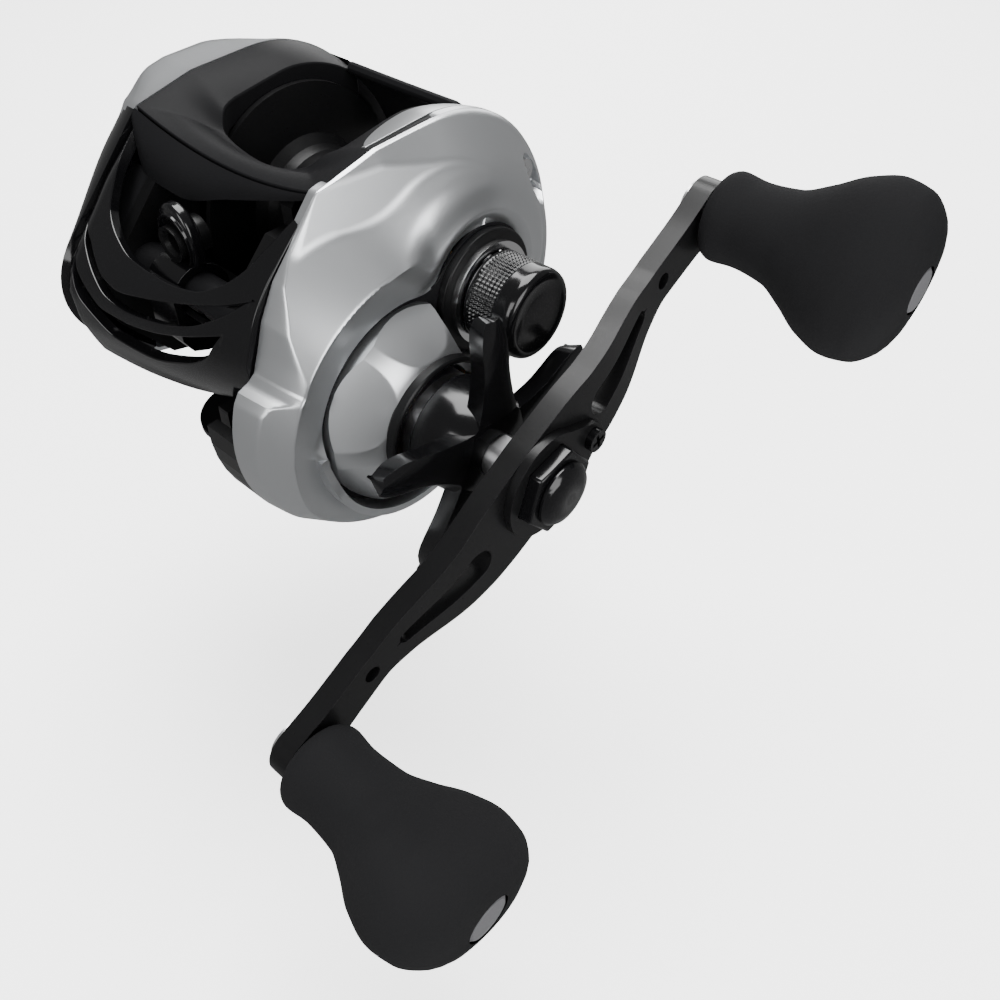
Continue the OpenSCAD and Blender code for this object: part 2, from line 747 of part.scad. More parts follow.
module nut_retainer() {
  color(black) translate([0, shaft_y, shaft_z]) rotate([15, 0, 0]) along_x(arm_x, arm_x + 1.2) difference() {
    union() {
      circle(r = 7.4);
      translate([8.8, 0]) circle(r = 2.2);
      polygon([[3, -6.7], [10, -1.9], [10, 1.9], [3, 6.7]]);
    }
    rotate(-5) circle(r = 6.1, $fn = 6);
    translate([8.8, 0]) circle(r = 0.9);
  }
}

module retainer_screw() {
  color(steel) translate([0, shaft_y, shaft_z]) rotate([15, 0, 0]) difference() {
    union() {
      rod(arm_x + 1.2, arm_x + 2.2, 1.6, 8.8, 0);
      rod(arm_x, arm_x + 1.3, 0.88, 8.8, 0);
    }
    translate([arm_x + 1.7, 7.7, -0.25]) cube([1, 2.2, 0.5]);
    translate([arm_x + 1.7, 8.55, -1.1]) cube([1, 0.5, 2.2]);
  }
}

module nut_cap() {
  color(black) spun(shaft_y, shaft_z, [[0, arm_x + 1.7], [2.9, arm_x + 1.7], [2.9, arm_x + 3], [4.4, arm_x + 3],
    [4.4, arm_x + 3.5], [3.9, arm_x + 4.1], [2.6, arm_x + 4.5], [0, arm_x + 4.6]]);
}

// Paddle knob on the X axis: round neck, waist, and a broad flattened end
module knob(turn) {
  x0 = tip_x + 0.6;
  end_x = x0 + knob_len;
  edge_r = 6.6;
  reach = knob_w / 2 - edge_r;
  color(rubber) rotate([turn, 0, 0]) difference() {
    union() {
      spun(0, 0, [[0, x0], [4.9, x0], [5.3, x0 + 1], [4.9, x0 + 3], [4.7, x0 + 8], [5.4, x0 + 14], [0, x0 + 14]]);
      hull() {
        for (s = [-1, 1]) {
          translate([x0 + 18.6, s * reach, 0]) sphere(r = edge_r, $fn = 28);
          translate([x0 + 22, s * (reach - 1.4), 0]) sphere(r = 4.6, $fn = 24);
        }
        rod(x0 + 7, x0 + 8, 4.6, 0, 0);
        rod(end_x - 0.8, end_x - 0.3, 4, 0, 0);
      }
    }
    rod(x0 - 1, end_x - 5, 2.1, 0, 0);
    rod(end_x - 5.5, end_x + 1, 3.1, 0, 0);
  }
}

module on_crank(side) {
  translate([0, shaft_y, shaft_z]) rotate([crank_turn, 0, 0]) translate([0, side * crank_r, 0])
    rotate([-crank_turn, 0, 0]) children();
}

module upper_knob() {
  on_crank(1) knob(upper_turn);
}

module lower_knob() {
  on_crank(-1) knob(lower_turn);
}

module knob_end() {
  x1 = tip_x + 0.6 + knob_len;
  color([0.3, 0.3, 0.31]) spun(0, 0, [[0, x1 - 1.6], [3.05, x1 - 1.6], [3.05, x1 - 0.4], [2.6, x1], [0, x1]]);
}

module upper_knob_cap() {
  on_crank(1) knob_end();
}

module lower_knob_cap() {
  on_crank(-1) knob_end();
}

module knob_spindles() {
  color(steel) for (side = [-1, 1]) on_crank(side) union() {
    rod(tip_x - arm_t - 0.8, tip_x - arm_t, 3, 0, 0);
    rod(tip_x - arm_t - 0.1, tip_x + knob_len - 5, 2, 0, 0);
    rod(tip_x + knob_len - 4.9, tip_x + knob_len - 2.4, 2.6, 0, 0);
  }
}

frame();
reel_foot();
foot_screws();
handle_side_cover();
cap_surround();
boss_collar();
cover_screws();
palm_side_cover();
palm_side_ring();
brake_dial();
brake_magnet_ring();
top_cover();
visor();
front_hood();
thumb_bar();
clutch_cam();
pinion_yoke();
yoke_springs();
spool();
spool_shaft();
clutch_pin();
brake_rotor();
palm_bearing();
cap_bearing();
cast_control_cap();
cap_ring();
tension_washer();
pinion_gear();
pinion_bearing();
drive_shaft();
drive_gear();
drag_washer();
pressure_washer();
ratchet();
anti_reverse_bearing();
shaft_sleeve();
spring_washers();
star_nut();
star_drag();
wind_drive_gear();
worm_gear();
worm_shaft();
worm_tube();
guide_rod();
line_guide();
line_guide_ring();
pawl();
handle_arm();
handle_nut();
nut_retainer();
retainer_screw();
nut_cap();
upper_knob();
lower_knob();
upper_knob_cap();
lower_knob_cap();
knob_spindles();
shaft_bearing();
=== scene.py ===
import json
import math
import bmesh
import bpy
from mathutils import Matrix, Vector


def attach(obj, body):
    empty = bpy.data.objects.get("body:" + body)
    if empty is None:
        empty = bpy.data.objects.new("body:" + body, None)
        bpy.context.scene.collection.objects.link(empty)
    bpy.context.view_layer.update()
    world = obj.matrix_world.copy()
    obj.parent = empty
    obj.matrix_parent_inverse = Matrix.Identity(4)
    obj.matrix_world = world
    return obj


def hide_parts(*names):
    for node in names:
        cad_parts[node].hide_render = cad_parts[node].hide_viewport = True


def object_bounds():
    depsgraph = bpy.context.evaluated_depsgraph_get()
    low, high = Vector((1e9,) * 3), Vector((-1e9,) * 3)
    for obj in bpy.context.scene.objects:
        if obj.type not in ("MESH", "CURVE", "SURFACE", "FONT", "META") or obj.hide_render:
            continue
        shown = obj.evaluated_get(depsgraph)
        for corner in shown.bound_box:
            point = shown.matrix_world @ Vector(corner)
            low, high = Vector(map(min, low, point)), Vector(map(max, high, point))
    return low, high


# A low-profile fishing reel with a left-hand crank. All shaping is in millimetres and turned
# into metres when a piece is finished. +X is the handle side, -Y the front, +Z up.
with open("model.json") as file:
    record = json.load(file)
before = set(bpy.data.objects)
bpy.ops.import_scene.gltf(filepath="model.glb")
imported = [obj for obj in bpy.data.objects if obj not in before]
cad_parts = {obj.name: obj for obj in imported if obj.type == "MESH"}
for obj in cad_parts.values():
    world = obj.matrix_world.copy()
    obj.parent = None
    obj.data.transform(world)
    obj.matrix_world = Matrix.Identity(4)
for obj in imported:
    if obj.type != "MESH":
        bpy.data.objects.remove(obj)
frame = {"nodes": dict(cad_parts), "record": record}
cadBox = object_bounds()
mm = 0.001

# Axes shared by several pieces, as (y, z)
spoolAxis = (0.0, 22.0)
shaftAxis = (-14.0, 10.371)
wormAxis = (-26.5, 22.605)
crankTurn = math.radians(27)
crankReach = 43.5
seamX = 18.6
palmX = -17.3


# small maths used for shaping
def clamp(value, low=0.0, high=1.0):
    return max(low, min(high, value))


def mix(a, b, share):
    return a + (b - a) * share


def easeStep(value, low, high):
    share = clamp((value - low) / (high - low))
    return share * share * (3 - 2 * share)


def softMin(a, b, blend):
    overlap = max(blend - abs(a - b), 0) / blend
    return min(a, b) - overlap * overlap * blend * 0.25


def softMax(a, b, blend):
    return -softMin(-a, -b, blend)


def curveValue(points, x):
    # smooth curve through (x, value) points in rising x
    if x <= points[0][0]:
        return points[0][1]
    if x >= points[-1][0]:
        return points[-1][1]
    k = 0
    while points[k + 1][0] < x:
        k += 1
    (x0, y0), (x1, y1) = points[k], points[k + 1]

    def slope(i):
        if i == 0 or i == len(points) - 1:
            return (y1 - y0) / (x1 - x0)
        before, here, after = points[i - 1], points[i], points[i + 1]
        left = (here[1] - before[1]) / (here[0] - before[0])
        right = (after[1] - here[1]) / (after[0] - here[0])
        if left * right <= 0:
            return 0.0
        return 2 * left * right / (left + right)

    span = x1 - x0
    t = (x - x0) / span
    a, b = slope(k) * span, slope(k + 1) * span
    return (y0 * (2 * t ** 3 - 3 * t ** 2 + 1) + a * (t ** 3 - 2 * t ** 2 + t)
            + y1 * (3 * t ** 2 - 2 * t ** 3) + b * (t ** 3 - t ** 2))


def arcPoints(cy, cz, radius, start, stop, steps):
    turns = [math.radians(mix(start, stop, i / steps)) for i in range(steps + 1)]
    return [(cy + radius * math.cos(a), cz + radius * math.sin(a)) for a in turns]


def polarReach(outline, centre, count=1440):
    # how far the closed outline lies from the centre, by direction
    reach = []
    edges = list(zip(outline, outline[1:] + outline[:1]))
    for i in range(count):
        a = 2 * math.pi * i / count
        dy, dz = math.cos(a), math.sin(a)
        best = 0.0
        for (y0, z0), (y1, z1) in edges:
            ey, ez = y1 - y0, z1 - z0
            cross = dy * ez - dz * ey
            if abs(cross) < 1e-9:
                continue
            py, pz = y0 - centre[0], z0 - centre[1]
            far = (py * ez - pz * ey) / cross
            along = (py * dz - pz * dy) / cross
            if far > 0 and -1e-6 <= along <= 1 + 1e-6:
                best = max(best, far)
        reach.append(best)

    def at(angle):
        place = (angle / (2 * math.pi)) % 1.0 * count
        low = int(place) % count
        return mix(reach[low], reach[(low + 1) % count], place - int(place))
    return at


# mesh helpers
def wrapGrid(bm, across, along, place):
    # lay a flat grid onto a surface: place(u, v) gives the point
    sheet = bmesh.ops.create_grid(bm, x_segments=across, y_segments=along, size=1)["verts"]
    wide = max(v.co.x for v in sheet)
    tall = max(v.co.y for v in sheet)
    for v in sheet:
        v.co = Vector(place((v.co.x / wide + 1) / 2, (v.co.y / tall + 1) / 2))
    return sheet


def turnProfile(bm, profile, axis, steps=96):
    # spin (radius, x) points about an axis along X
    centre = Vector((0, axis[0], axis[1]))
    line = [bm.verts.new((x, axis[0] + radius, axis[1])) for radius, x in profile]
    edges = [bm.edges.new(pair) for pair in zip(line, line[1:])]
    return bmesh.ops.spin(bm, geom=line + edges, cent=centre, axis=(1, 0, 0),
                          angle=2 * math.pi, steps=steps, use_merge=True)


def hollow(bm, thickness):
    bmesh.ops.remove_doubles(bm, verts=bm.verts, dist=0.004)
    bmesh.ops.recalc_face_normals(bm, faces=bm.faces)
    bmesh.ops.solidify(bm, geom=bm.faces[:], thickness=thickness)


def fromAxis(point, axis):
    return math.hypot(point.y - axis[0], point.z - axis[1])


def dropFaces(bm, test):
    gone = [f for f in bm.faces if test(f.calc_center_median())]
    bmesh.ops.delete(bm, geom=gone, context="FACES")


def finishPiece(bm, name, body, material, hides=(), edge=0.0, sharp=38, turned=True):
    bmesh.ops.remove_doubles(bm, verts=bm.verts, dist=0.004)
    if turned:
        bmesh.ops.recalc_face_normals(bm, faces=bm.faces)
    bmesh.ops.scale(bm, vec=(mm, mm, mm), verts=bm.verts)
    limit = math.radians(sharp)
    for e in bm.edges:
        e.smooth = len(e.link_faces) == 2 and e.calc_face_angle(0) < limit
    for f in bm.faces:
        f.smooth = True
    mesh = bpy.data.meshes.new(name)
    bm.to_mesh(mesh)
    bm.free()
    mesh.materials.append(material)
    piece = bpy.data.objects.new(name, mesh)
    bpy.context.scene.collection.objects.link(piece)
    if edge:
        rounding = piece.modifiers.new("rounding", "BEVEL")
        rounding.width = edge * mm
        rounding.segments = 2
        rounding.limit_method = "ANGLE"
        rounding.angle_limit = math.radians(50)
    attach(piece, body)
    if hides:
        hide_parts(*hides)
    return piece


# materials
def finishMaterial(name, look):
    # one recipe for every finish: base colour with slow variation, fine grain in roughness and bump
    material = bpy.data.materials.new(name)
    material.use_nodes = True
    nodes, links = material.node_tree.nodes, material.node_tree.links
    shader = nodes["Principled BSDF"]
    place = nodes.new("ShaderNodeTexCoord")
    broad = nodes.new("ShaderNodeTexNoise")
    broad.inputs["Scale"].default_value = look.get("broad", 60)
    broad.inputs["Detail"].default_value = 3
    fine = nodes.new("ShaderNodeTexNoise")
    fine.inputs["Scale"].default_value = look.get("grain", 2500)
    fine.inputs["Detail"].default_value = look.get("detail", 3)
    stretch = nodes.new("ShaderNodeMapping")
    stretch.inputs["Scale"].default_value = look.get("stretch", (1, 1, 1))
    links.new(place.outputs["Object"], broad.inputs["Vector"])
    links.new(place.outputs["Object"], stretch.inputs["Vector"])
    links.new(stretch.outputs["Vector"], fine.inputs["Vector"])
    colours = nodes.new("ShaderNodeMix")
    colours.data_type = "RGBA"
    colours.inputs["A"].default_value = look["base"] + (1,)
    colours.inputs["B"].default_value = look["other"] + (1,)
    links.new(broad.outputs["Fac"], colours.inputs["Factor"])
    links.new(colours.outputs["Result"], shader.inputs["Base Color"])
    rough = nodes.new("ShaderNodeMapRange")
    rough.inputs["To Min"].default_value = look["rough"] - look.get("roughSpread", 0.06)
    rough.inputs["To Max"].default_value = look["rough"] + look.get("roughSpread", 0.06)
    links.new(fine.outputs["Fac"], rough.inputs["Value"])
    links.new(rough.outputs["Result"], shader.inputs["Roughness"])
    bump = nodes.new("ShaderNodeBump")
    bump.inputs["Strength"].default_value = look.get("bump", 0.1)
    bump.inputs["Distance"].default_value = look.get("depth", 0.00003)
    links.new(fine.outputs["Fac"], bump.inputs["Height"])
    links.new(bump.outputs["Normal"], shader.inputs["Normal"])
    shader.inputs["Metallic"].default_value = look.get("metal", 0)
    shader.inputs["Specular IOR Level"].default_value = look.get("specular", 0.5)
    shader.inputs["IOR"].default_value = look.get("ior", 1.5)
    shader.inputs["Coat Weight"].default_value = look.get("coat", 0)
    shader.inputs["Coat Roughness"].default_value = look.get("coatRough", 0.1)
    shader.inputs["Sheen Weight"].default_value = look.get("sheen", 0)
    return material


finishes = {
    "satin_silver": dict(base=(0.4, 0.41, 0.42), other=(0.44, 0.45, 0.46), rough=0.32, metal=0.92,
                         grain=5200, bump=0.12, depth=0.00002, coat=0.15, coatRough=0.3),
    "black_plastic": dict(base=(0.005, 0.005, 0.0055), other=(0.007, 0.007, 0.0075), rough=0.45,
                          grain=4200, bump=0.2, depth=0.00003, specular=0.3, ior=1.16),
    "gloss_black": dict(base=(0.002, 0.002, 0.0022), other=(0.003, 0.003, 0.0034), rough=0.14,
                        roughSpread=0.03, grain=900, bump=0.04, specular=0.32),
    "black_metal": dict(base=(0.003, 0.003, 0.0032), other=(0.005, 0.005, 0.0052), rough=0.3,
                        grain=3600, bump=0.12, specular=0.5, ior=1.25),
    "soft_grip": dict(base=(0.006, 0.006, 0.0065), other=(0.009, 0.009, 0.0095), rough=0.8, grain=2600,
                      detail=6, bump=0.55, depth=0.00007, specular=0.3, ior=1.16),
    "grey_plastic": dict(base=(0.06, 0.06, 0.063), other=(0.075, 0.075, 0.08), rough=0.5, grain=3000,
                         specular=0.3),
    "bright_steel": dict(base=(0.72, 0.72, 0.73), other=(0.8, 0.8, 0.8), rough=0.18, metal=1,
                         grain=4000, bump=0.08),
    "dull_steel": dict(base=(0.42, 0.42, 0.43), other=(0.52, 0.52, 0.53), rough=0.32, metal=1,
                       grain=2600, stretch=(1, 6, 6), bump=0.15),
    "brass_parts": dict(base=(0.62, 0.45, 0.2), other=(0.7, 0.53, 0.27), rough=0.3, metal=1,
                        grain=2600, stretch=(1, 6, 6), bump=0.15),
}
materials = {name: finishMaterial(name, look) for name, look in finishes.items()}
for part in frame["record"]["subparts"]:
    cadNode = frame["nodes"][part["node"]]
    cadNode.data.materials.clear()
    cadNode.data.materials.append(materials[part["material_slot"]])
frame["nodes"]["line_guide_ring"].data.materials[0] = materials["black_metal"]
print("materials ready")

# handle-side cover
cover = {
    "capRadius": 8.75, "grooveRadius": 15.4, "grooveWidth": 0.9, "grooveFloor": 24.0,
    "grooveBlend": 3.5, "grooveEdge": 25.3, "crest": 26.3,
    "crestGap": 5.0, "crestGapLow": 1.9, "crestGapCap": 1.4,
    "leanTop": 1.1, "leanFront": 1.9,       # how fast the fender falls outside its crest
    "frontWall": 9.4, "frontRound": 0.95, "rearWall": 6.1, "rearRound": 1.8,
    "bandEdge": 19.0, "bandSlope": 1.02,    # bevelled band along the top
    "flank": (35.9, 0.203, -0.326),         # x = a + b * y + c * z
    "pocket": (15.2, 30.8), "pocketFloor": 20.4, "pocketHalf": (1.9, 3.5),
    "pocketTurn": math.radians(29),
    "domeTop": 31.0, "domeFlat": 8.9, "domeFall": 0.25, "domeLow": 25.2,
    # dents in the dome: y, z, reach, depth
    "dimples": ((-14.2, 26.2, 6.3, 1.5), (-27.4, 18.4, 6.9, 1.6), (-26.0, 3.0, 6.0, 1.2)),
    "bossRadius": 8.7, "capHole": 6.6, "wall": 1.1, "around": 400, "rings": 76}
caseOutline = arcPoints(0.5, 21.5, 21.5, -38, 92, 40)       # round the spool
caseOutline += [(-10, 42.6), (-19.3, 40.6), (-27.2, 32.7), (-29.8, 28.5), (-31.2, 24.9), (-32.3, 22.4),
                (-33.4, 21.6), (-35.0, 21.1)]
caseOutline += arcPoints(-17.5, 12, 20, 157, 292, 40)       # round the gears
caseReach = polarReach(caseOutline, shaftAxis)


def grooveGap(y, z):
    # distance outside the channel that runs round the crank and the cast control cap
    ring = math.hypot(y - shaftAxis[0], z - shaftAxis[1]) - cover["grooveRadius"]
    cap = math.hypot(y - spoolAxis[0], z - spoolAxis[1]) - cover["capRadius"]
    return softMin(ring, cap, cover["grooveBlend"])


def grooveReach(angle):
    # how far the channel's outer edge lies from the crank axis, found by halving
    low, high = 5.0, 34.0
    dy, dz = math.cos(angle), math.sin(angle)
    for _ in range(30):
        middle = (low + high) / 2
        if grooveGap(shaftAxis[0] + middle * dy, shaftAxis[1] + middle * dz) > 0:
            high = middle
        else:
            low = middle
    return high


def coverHeight(y, z, inset):
    gap = grooveGap(y, z)
    nearCap = 1 - easeStep(math.hypot(y - spoolAxis[0], z - spoolAxis[1]), 9, 16)
    rear = easeStep(y, -6, 8)
    lean = mix(cover["leanTop"], cover["leanFront"], easeStep(24 - z, 0, 24))
    crestGap = mix(cover["crestGapLow"], cover["crestGap"], easeStep(z, -9, 6))
    crestGap = mix(crestGap, cover["crestGapCap"], nearCap)
    bevelFace = mix(cover["grooveEdge"], cover["crest"], gap / crestGap)
    outerFace = cover["crest"] - lean * (gap - crestGap)
    fender = softMin(bevelFace, outerFace, 0.18)
    frontWall = seamX + cover["frontWall"] * (1 - math.exp(-inset / cover["frontRound"]))
    fender = softMin(fender, frontWall, 0.5)
    topBand = cover["bandEdge"] + cover["bandSlope"] * inset
    level, alongY, alongZ = cover["flank"]
    flank = level + alongY * y + alongZ * z
    wallRise = mix(cover["frontWall"], cover["rearWall"], rear)
    wallRound = mix(cover["frontRound"], cover["rearRound"], rear)
    rearWall = seamX + wallRise * (1 - math.exp(-inset / wallRound))
    body = softMin(softMin(topBand, flank, 0.35), rearWall, 0.9)
    height = softMax(body, fender, 0.35)
    # oval pocket for the rear screw
    py, pz = y - cover["pocket"][0], z - cover["pocket"][1]
    turned = cover["pocketTurn"]
    across = (py * math.cos(turned) + pz * math.sin(turned)) / cover["pocketHalf"][0]
    down = (-py * math.sin(turned) + pz * math.cos(turned)) / cover["pocketHalf"][1]
    pocket = cover["pocketFloor"] + 40 * max(math.hypot(across, down) - 1, 0)
    return softMin(height, pocket, 0.25)


def domeReach(angle):
    # the dome's edge: round the crank, cut back where the cast control cap stands
    low, high = 8.8, cover["grooveRadius"] - cover["grooveWidth"]
    dy, dz = math.cos(angle), math.sin(angle)
    for step in range(160):
        r = mix(high, low, step / 160)
        away = math.hypot(shaftAxis[0] + r * dy - spoolAxis[0], shaftAxis[1] + r * dz - spoolAxis[1])
        if away > 9.6:
            return r
    return low


def domeHeight(y, z):
    r = math.hypot(y - shaftAxis[0], z - shaftAxis[1])
    height = cover["domeTop"] - cover["domeFall"] * max(r - cover["domeFlat"], 0) ** 1.65
    for sy, sz, reach, depth in cover["dimples"]:
        away = math.hypot(y - sy, z - sz) / reach
        height -= depth * max(1 - away * away, 0)
    return max(height, cover["domeLow"])


def buildHandleCover():
    bm = bmesh.new()
    around = cover["around"]

    def outer(u, v):
        a = 2 * math.pi * u
        near, far = grooveReach(a), caseReach(a)
        share = 1 - (1 - v) ** 1.6
        r = mix(near, far, share)
        y, z = shaftAxis[0] + r * math.cos(a), shaftAxis[1] + r * math.sin(a)
        inset = 0.93 * (far - r)
        if v > 0.9999:
            return (seamX, y, z)
        return (max(coverHeight(y, z, inset), seamX), y, z)

    def channel(u, v):
        a = 2 * math.pi * u
        near, far = domeReach(a), grooveReach(a)
        r = mix(near, far, clamp((v - 0.25) * 2))
        y, z = shaftAxis[0] + r * math.cos(a), shaftAxis[1] + r * math.sin(a)
        if v < 0.2:
            return (domeHeight(y, z), y, z)
        if v > 0.8:
            return (coverHeight(y, z, 9.0), y, z)
        return (cover["grooveFloor"], y, z)

    def inner(u, v):
        a = 2 * math.pi * u
        r = mix(cover["bossRadius"], domeReach(a), v)
        y, z = shaftAxis[0] + r * math.cos(a), shaftAxis[1] + r * math.sin(a)
        return (domeHeight(y, z), y, z)

    wrapGrid(bm, around, cover["rings"], outer)
    wrapGrid(bm, around, 4, channel)
    wrapGrid(bm, around, 26, inner)
    bmesh.ops.remove_doubles(bm, verts=bm.verts, dist=0.004)
    dropFaces(bm, lambda c: c.x < 24.6 and fromAxis(c, spoolAxis) < cover["capHole"]
              and fromAxis(c, shaftAxis) < 26)
    hollow(bm, cover["wall"])
    return finishPiece(bm, "handleCover", "root", materials["satin_silver"],
                       hides=["handle_side_cover"], sharp=32)


def buildCoverInlay():
    # black strip in the channel, spreading out round the cast control cap
    bm = bmesh.new()

    def place(u, v):
        a = 2 * math.pi * u
        r = mix(domeReach(a) - 0.2, grooveReach(a) + 0.2, v)
        y, z = shaftAxis[0] + r * math.cos(a), shaftAxis[1] + r * math.sin(a)
        nearCap = 1 - easeStep(math.hypot(y - spoolAxis[0], z - spoolAxis[1]), 8.2, 11.5)
        return (24.7 + 1.6 * nearCap, y, z)

    wrapGrid(bm, 240, 24, place)
    dropFaces(bm, lambda c: fromAxis(c, spoolAxis) < cover["capHole"])
    hollow(bm, 0.5)
    return finishPiece(bm, "coverInlay", "root", materials["black_plastic"])


handleCover = buildHandleCover()
coverInlay = buildCoverInlay()
print("handle cover ready")

# palm-side cover
palm = {"depth": 8.9, "round": 13.0, "roundTop": 9.5, "shelf": 5.0, "corner": 3.7, "rise": 0.35,
        "topMost": 42.98, "seam": (-19.4, 40.6, 0.23), "brow": 0.7, "hub": 3.4,
        "dialRadius": 8.7, "wall": 1.1, "around": 260, "rings": 44}
palmOutline = (arcPoints(0.5, 21.5, 21.5, -60, 92, 44) + [(-10, 42.6), (-19.3, 40.6)]
               + arcPoints(-27.5, 19.5, 9.8, 130, 215, 20) + [(-27, 5), (-14, 1.6)])
palmReach = polarReach(palmOutline, spoolAxis)


def palmShoulder(y, z):
    # 1 along the raised top edge between the front corner and the middle of the reel
    return easeStep(y, -19.8, -12) * (1 - easeStep(y, -4, 5)) * easeStep(z, 33, 38)


def buildPalmPart(name, slotName, keep, hides):
    bm = bmesh.new()

    def place(u, v):
        a = 2 * math.pi * u
        far = palmReach(a)
        share = 1 - (1 - v) ** 1.7
        r = mix(palm["hub"], far, share)
        y, z = spoolAxis[0] + r * math.cos(a), spoolAxis[1] + r * math.sin(a)
        inset = clamp((far - r) / palm["round"])
        steep = clamp((far - r) / palm["roundTop"])
        shallowBulge = math.sin(inset * math.pi / 2) ** 0.95
        fullBulge = (1 - (1 - steep) ** 2.4) ** 0.62
        x = palmX - palm["depth"] * mix(shallowBulge, fullBulge, easeStep(z, 24, 36))
        rounded = clamp((far - r) / palm["corner"])
        shelf = palm["shelf"] * easeStep(far - r, 0, 0.25)
        shelf += palm["corner"] * math.sqrt(1 - (1 - rounded) ** 2)
        shoulder = palmShoulder(y, z)
        x = mix(x, min(x, palmX - shelf), shoulder)
        rise = palm["rise"] * shoulder * easeStep(far - r, 0, 0.3) * (1 - easeStep(far - r, 1, 6))
        z = min(z + rise, palm["topMost"])
        sweep = easeStep(z - 0.35 * y, 33.5, 34.6)      # a flatter brow above a soft crease
        x += palm["brow"] * sweep * inset
        if r < palm["dialRadius"]:
            x = palmX - palm["depth"] + 0.5
        return (x, y, z)

    wrapGrid(bm, palm["around"], palm["rings"], place)
    dropFaces(bm, lambda c: not keep(c))
    hollow(bm, palm["wall"])
    return finishPiece(bm, name, "root", materials[slotName], hides=hides, sharp=60)


def behindPalmSeam(c):
    # the silver plate ends at a slanting seam; the nose in front of it is black
    top, height, slope = palm["seam"]
    return c.y > top - slope * (height - c.z)


palmCover = buildPalmPart("palmCover", "satin_silver", behindPalmSeam, ["palm_side_cover"])
palmNose = buildPalmPart("palmNose", "gloss_black", lambda c: not behindPalmSeam(c), [])

# top cover with the thumb opening
deck = {"front": -19.2, "back": 14.0, "dip": 2.5, "lip": 3.4, "sideLip": 1.5, "drop": 3.2, "wall": 1.5}
deckStations = [((11.2, 14), (18.5, 14)), ((10.95, 2), (18.5, 2)), ((10.9, -7.5), (18.5, -10)),
                ((8.2, -12), (18.5, -19.2)), ((0, -13.2), (0, -19.2)), ((-8.4, -12.4), (-17.3, -19.2)),
                ((-10.9, -7.5), (-17.3, -10)), ((-10.95, 2), (-17.3, 2)), ((-11.2, 14), (-17.3, 14))]


def rimHeight(y):
    # height of the reel's top outline
    if y < -19.3:
        return 40.6
    if y < -10:
        return mix(40.6, 42.55, (y + 19.3) / 9.3)
    if y < 0.5:
        return mix(42.55, 42.95, (y + 10) / 10.5)
    return 21.5 + math.sqrt(max(21.5 ** 2 - (y - 0.5) ** 2, 0)) - 0.05


def seamHeight(x):
    return rimHeight(deck["front"]) - deck["dip"] * clamp(1 - ((x - 0.6) / 18) ** 2)


def deckHeight(x, y, out):
    # out runs from 0 at the thumb opening to 1 at the outer edge
    front = 1 - easeStep(y, -14, 4)
    z = rimHeight(y) - deck["dip"] * clamp(1 - ((x - 0.6) / 18) ** 2) * mix(0.35, 1, front)
    lip = mix(deck["lip"], deck["sideLip"], easeStep(y, -14, -10.4))
    return z - lip * (1 - out) ** 2.2 * mix(0.8, 1, front)


def buildDeck():
    bm = bmesh.new()
    last = len(deckStations) - 1
    innerX = [(i, s[0][0]) for i, s in enumerate(deckStations)]
    innerY = [(i, s[0][1]) for i, s in enumerate(deckStations)]

    def place(u, v):
        spot = u * last
        k = min(int(spot), last - 1)
        part = spot - k
        ox = mix(deckStations[k][1][0], deckStations[k + 1][1][0], part)
        oy = mix(deckStations[k][1][1], deckStations[k + 1][1][1], part)
        ix, iy = curveValue(innerX, spot), curveValue(innerY, spot)
        fall = clamp(v / 0.25)
        out = clamp((v - 0.25) / 0.75)
        x, y = mix(ix, ox, out), mix(iy, oy, out)
        return (x, y, deckHeight(x, y, out) - deck["drop"] * (1 - fall))

    wrapGrid(bm, 160, 32, place)
    hollow(bm, deck["wall"])
    return finishPiece(bm, "deck", "root", materials["black_plastic"],
                       hides=["top_cover"], edge=0.25)


topCover = buildDeck()


def buildDeckStrip():
    # slim silver lens set into the slope beside the opening
    bm = bmesh.new()

    def place(u, v):
        y = mix(-10.0, 8.5, u)
        spread = math.sin(math.pi * clamp(u, 0.02, 0.98)) ** 0.7
        x = mix(17.2, mix(17.2, 12.4, spread), v)
        return (x, y, deckHeight(x, y, (x - 11.2) / 7.3) + 0.14)

    wrapGrid(bm, 48, 12, place)
    bmesh.ops.recalc_face_normals(bm, faces=bm.faces)
    if sum(f.normal.z for f in bm.faces) < 0:
        bmesh.ops.reverse_faces(bm, faces=bm.faces)
    bmesh.ops.solidify(bm, geom=bm.faces[:], thickness=0.5)
    return finishPiece(bm, "deckStrip", "root", materials["satin_silver"], edge=0.08)


deckStrip = buildDeckStrip()

# visor above the line window
visorEdge = {
    "y": [(-17.4, -20.3), (-16.2, -21.4), (-13, -22.5), (-6, -22.6), (3, -21.0), (10, -20.2), (17, -19.5),
          (18.3, -19.4)],
    "z": [(-17.4, 39.2), (-16.2, 35.6), (-13, 33.2), (-6, 32.9), (3, 35.0), (10, 37.0), (17, 39.2),
          (18.3, 40.0)],
    "swell": 0.12}


def buildVisor():
    bm = bmesh.new()

    def place(u, v):
        x = mix(-17.3, 18.3, u)
        ty, tz = deck["front"] - 0.3, seamHeight(x) - 0.22
        ey, ez = curveValue(visorEdge["y"], x), min(curveValue(visorEdge["z"], x), tz - 0.2)
        swell = math.sin(math.pi * v) * visorEdge["swell"] * math.hypot(ty - ey, tz - ez)
        return (x, mix(ty, ey, v) - swell * 0.8, mix(tz, ez, v) + swell * 0.6)

    wrapGrid(bm, 90, 14, place)
    hollow(bm, 1.3)
    return finishPiece(bm, "visorBlade", "root", materials["black_plastic"],
                       hides=["visor"], edge=0.25)


visorBlade = buildVisor()

